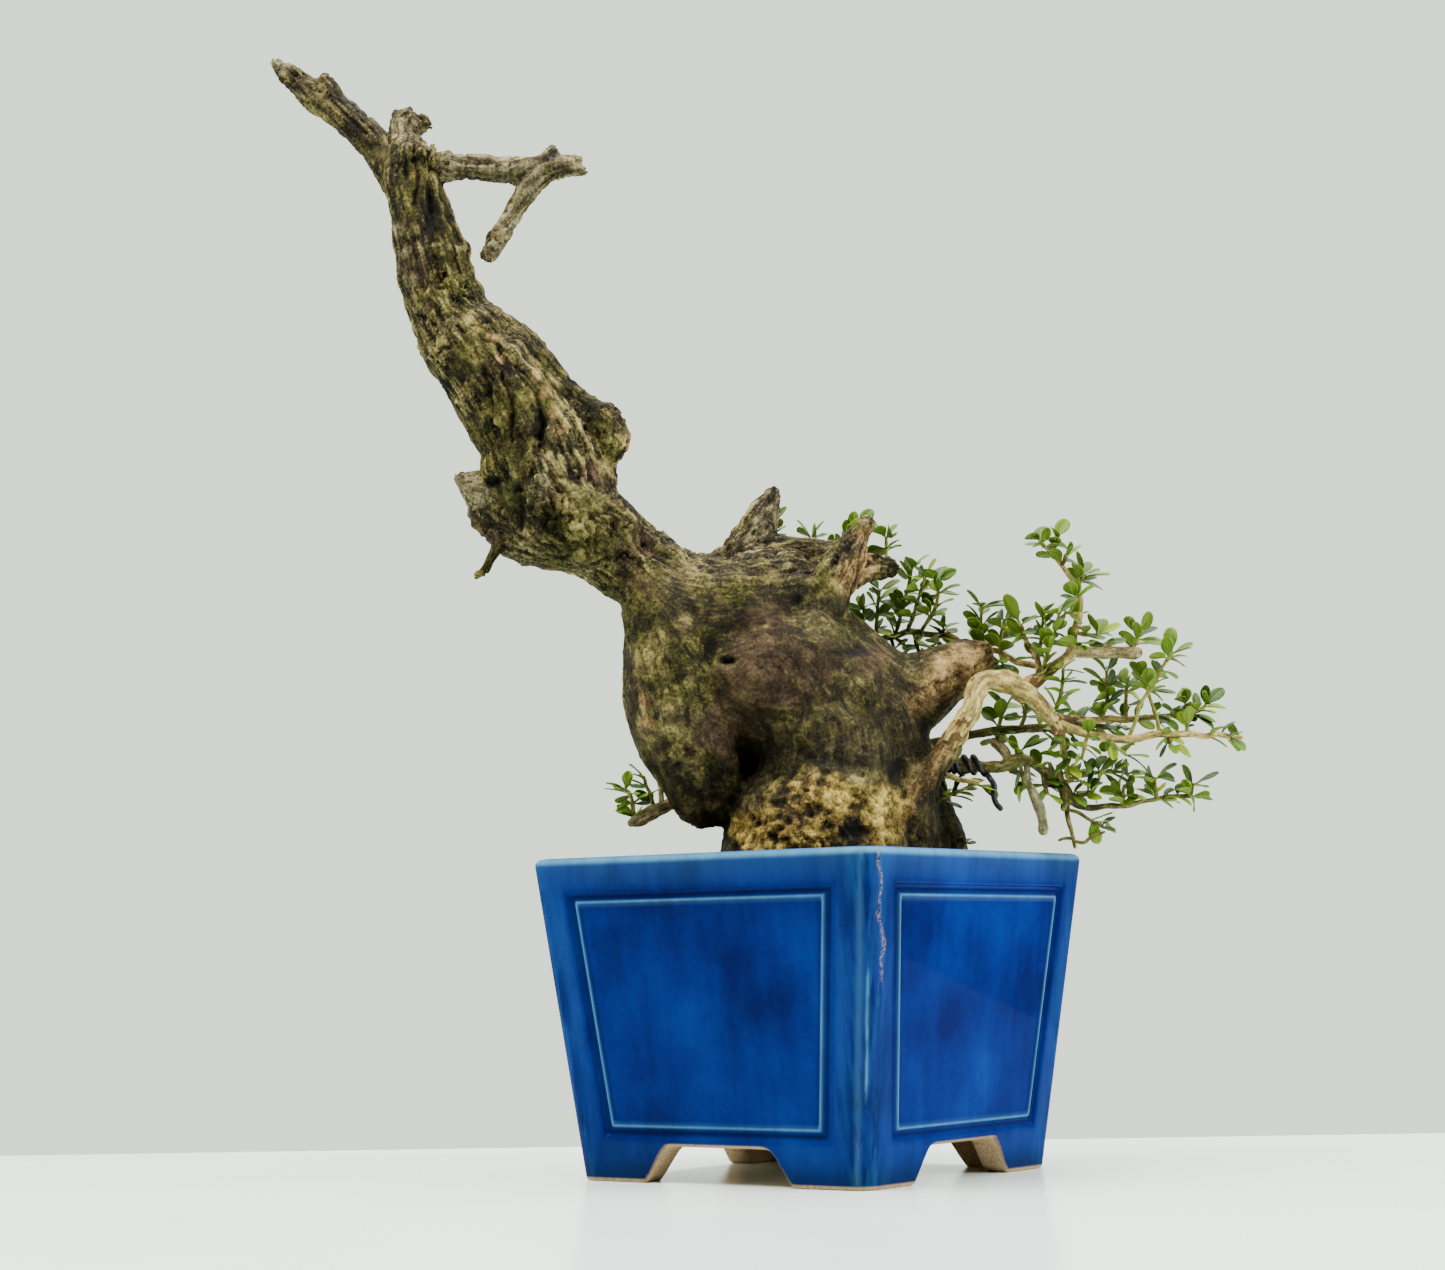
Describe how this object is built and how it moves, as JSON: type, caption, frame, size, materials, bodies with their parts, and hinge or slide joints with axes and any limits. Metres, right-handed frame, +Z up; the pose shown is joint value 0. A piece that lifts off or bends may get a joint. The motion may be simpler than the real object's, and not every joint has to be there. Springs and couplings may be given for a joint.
{
  "type": "bonsai tree in a pot",
  "caption": "Wild olive bonsai: a burled leaning trunk with deadwood and leafy side branches, standing in a square glazed pot with feet.",
  "frame": {"origin": "on the standing plane, under the middle of the whole bonsai's footprint", "axes": "+Z up; +X to the right along the pot face that shows on the left in the picture; -Y out of that face"},
  "size_m": [0.3724, 0.2314, 0.5119],
  "materials": {
    "cobalt_glaze": "glossy cobalt glaze over buff stoneware",
    "soil": "dark granular soil",
    "grit": "coarse grit",
    "mossy_bark": "rough old bark with moss",
    "deadwood": "weathered wood",
    "pale_bark": "thin pale bark",
    "green_bark": "thin olive bark",
    "leaf": "leathery green leaf, softly shiny",
    "black_plastic": "moulded plastic mesh",
    "dark_wire": "dark anodised wire"
  },
  "bodies": {
    "root": {"arch_shoot_1": "leaf", "arch_shoot_2": "leaf", "arch_shoot_3": "leaf", "arch_shoot_4": "leaf", "arch_shoot_5": "leaf", "arch_shoot_6": "leaf", "back_branch": "pale_bark", "crown_shoot_1": "leaf", "crown_shoot_2": "leaf", "crown_shoot_3": "leaf", "crown_shoot_4": "leaf", "crown_shoot_5": "leaf", "dead_stub": "deadwood", "down_twig": "green_bark", "drain_mesh": "black_plastic", "drainage_layer": "grit", "fork_twig": "pale_bark", "hanging_twig": "deadwood", "inner_shoot_1": "leaf", "inner_shoot_2": "leaf", "inner_shoot_3": "leaf", "inner_shoot_4": "leaf", "left_shoot_1": "leaf", "left_shoot_2": "leaf", "left_stub": "deadwood", "low_branch": "green_bark", "low_shoot_1": "leaf", "low_shoot_2": "leaf", "low_shoot_3": "leaf", "low_shoot_4": "leaf", "low_shoot_5": "leaf", "low_shoot_6": "leaf", "low_shoot_7": "leaf", "low_shoot_8": "leaf", "mesh_clip": "dark_wire", "middle_shoot_1": "leaf", "middle_shoot_2": "leaf", "middle_shoot_3": "leaf", "middle_shoot_4": "leaf", "middle_shoot_5": "leaf", "pale_stub": "deadwood", "pot": "cobalt_glaze", "ridge_shoot_1": "leaf", "ridge_shoot_2": "leaf", "ridge_shoot_3": "leaf", "right_branch": "pale_bark", "rising_branch": "pale_bark", "second_arm": "pale_bark", "seedling": "leaf", "shaded_shoot_1": "leaf", "shaded_shoot_2": "leaf", "shaded_shoot_3": "leaf", "soil": "soil", "straight_branch": "green_bark", "stub_shoot": "leaf", "tall_riser": "leaf", "training_wire": "dark_wire", "trunk": "mossy_bark", "under_twig": "pale_bark"}
  },
  "joints": []
}
